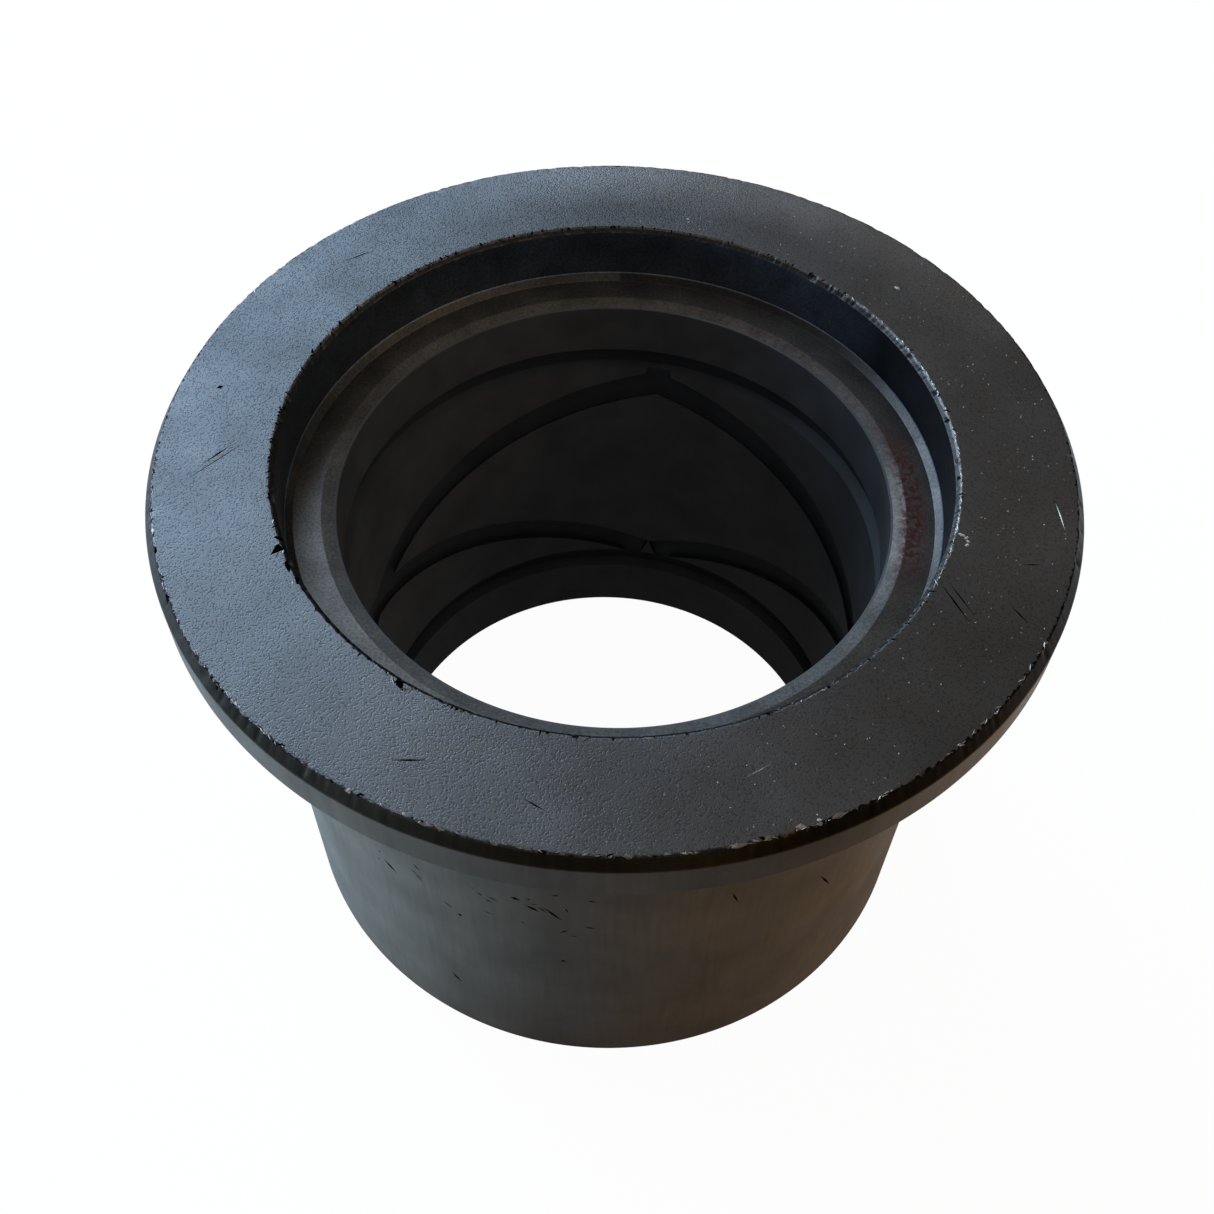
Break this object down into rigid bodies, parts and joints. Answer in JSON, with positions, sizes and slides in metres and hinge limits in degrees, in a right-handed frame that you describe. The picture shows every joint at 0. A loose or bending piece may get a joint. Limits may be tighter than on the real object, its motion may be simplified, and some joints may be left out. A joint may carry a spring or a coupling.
{
  "type": "collar bushing",
  "caption": "Flanged steel pivot bushing with a dust seal seat in its collar, ring and crossing zigzag grease grooves in the bore, and a plain press-fit body.",
  "frame": {"origin": "centre of the plain lower end face, on the bushing's axis", "axes": "+Z along the axis from the plain end to the collar; +X and +Y square to it, with the camera side of the picture at -Y"},
  "size_m": [0.162, 0.162, 0.111],
  "materials": {
    "phosphated_steel": "black phosphated and oiled over turned steel, satin, with bare edges, scratches and light rust"
  },
  "bodies": {
    "root": {"collar_bushing": "phosphated_steel"}
  },
  "joints": []
}
